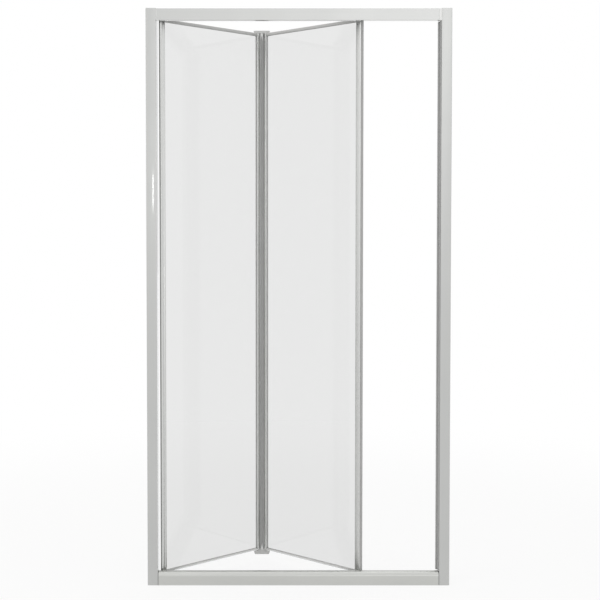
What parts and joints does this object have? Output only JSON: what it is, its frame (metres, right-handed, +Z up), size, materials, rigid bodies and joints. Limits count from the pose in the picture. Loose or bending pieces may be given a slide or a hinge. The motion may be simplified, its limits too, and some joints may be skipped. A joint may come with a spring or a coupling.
{
  "type": "bifold shower door",
  "caption": "Framed bifold shower door whose glass panels fold inwards on a double-pivot centre hinge, with a roller in the top track and a guide shoe in the sill groove.",
  "frame": {"origin": "on the shower tray, at the middle of the bottom rail's underside, half way between the frame's front and back faces", "axes": "+X along the frame to the closing side, +Y into the shower, +Z up the jambs; the front face that the room sees looks along -Y"},
  "size_m": [1, 0.3479, 1.9],
  "materials": {
    "satin_aluminium": "satin anodised silver",
    "mill_aluminium": "plain mill finish",
    "trim_aluminium": "brushed, a little darker than the stiles",
    "light_plastic": "smooth light grey moulding",
    "dark_plastic": "smooth mid-grey moulding",
    "black_plastic": "smooth black moulding",
    "grey_plastic": "smooth pale grey moulding",
    "hinge_plastic": "smooth silver-grey moulding",
    "white_nylon": "white bearing nylon",
    "steel": "bright stainless steel",
    "dark_rubber": "soft black rubber",
    "magnet_strip": "grey magnetic seal strip",
    "gasket": "light grey glazing gasket",
    "clear_seal": "soft translucent seal",
    "clear_glass": "clear toughened safety glass"
  },
  "bodies": {
    "frame": {"left_wall_channel": "mill_aluminium", "right_wall_channel": "mill_aluminium", "left_jamb": "satin_aluminium", "right_jamb": "satin_aluminium", "top_rail": "satin_aluminium", "bottom_rail": "satin_aluminium", "top_left_end_block": "light_plastic", "top_right_end_block": "light_plastic", "bottom_left_end_block": "black_plastic", "bottom_right_end_block": "black_plastic", "corner_screws": "steel", "jamb_fixing_screws": "steel", "screw_cover_caps": "light_plastic", "top_pivot_block": "grey_plastic", "bottom_pivot_block": "grey_plastic", "top_pivot_bush": "white_nylon", "bottom_pivot_bush": "white_nylon", "pivot_block_screws": "steel", "strike_profile": "dark_plastic", "strike_magnet": "magnet_strip", "fold_stop": "dark_rubber"},
    "pivot_panel": {"pivot_stile": "satin_aluminium", "pivot_hinge_stile": "satin_aluminium", "pivot_glass": "clear_glass", "pivot_top_trim": "trim_aluminium", "pivot_bottom_trim": "trim_aluminium", "pivot_sweep_seal": "clear_seal", "pivot_glass_gaskets": "gasket", "pivot_stile_plugs": "grey_plastic", "pivot_hinge_plugs": "grey_plastic", "top_pivot_pin": "steel", "bottom_pivot_pin": "steel"},
    "hinge_link": {"hinge_top_cap": "hinge_plastic", "hinge_bottom_cap": "hinge_plastic", "hinge_centre_strip": "dark_plastic", "hinge_pins": "steel"},
    "slide_panel": {"slide_hinge_stile": "satin_aluminium", "closing_stile": "satin_aluminium", "slide_glass": "clear_glass", "slide_top_trim": "trim_aluminium", "slide_bottom_trim": "trim_aluminium", "slide_sweep_seal": "clear_seal", "slide_glass_gaskets": "gasket", "slide_hinge_plugs": "grey_plastic", "closing_stile_plugs": "grey_plastic", "closing_magnet_seal": "magnet_strip", "roller_pin": "steel", "guide_pin": "steel"},
    "guide_roller": {"guide_roller": "white_nylon"},
    "guide_shoe": {"guide_shoe": "white_nylon"}
  },
  "joints": [
    {"name": "door_fold", "type": "hinge", "parent": "frame", "child": "pivot_panel", "pos_m": [-0.4535, 0.004, 0], "axis": [0, 0, 1], "range_deg": [-43.8, 41.2]},
    {"name": "hinge_link_turn", "type": "hinge", "parent": "pivot_panel", "child": "hinge_link", "pos_m": [-0.13665, 0.30785, 0], "axis": [0, 0, 1], "range_deg": [-41.2, 43.8]},
    {"name": "slide_panel_turn", "type": "hinge", "parent": "hinge_link", "child": "slide_panel", "pos_m": [-0.11465, 0.30785, 0], "axis": [0, 0, 1], "range_deg": [-41.2, 43.8]},
    {"name": "guide_shoe_turn", "type": "hinge", "parent": "slide_panel", "child": "guide_shoe", "pos_m": [0.2022, 0.004, 0], "axis": [0, 0, 1], "range_deg": [-43.8, 41.2]},
    {"name": "roller_spin", "type": "hinge", "parent": "slide_panel", "child": "guide_roller", "pos_m": [0.2022, 0.004, 0], "axis": [0, 0, 1], "continuous": true}
  ],
  "couplings": [
    {"joint": "hinge_link_turn", "follows": "door_fold", "ratio": -1},
    {"joint": "slide_panel_turn", "follows": "door_fold", "ratio": -1},
    {"joint": "guide_shoe_turn", "follows": "door_fold", "ratio": 1}
  ]
}
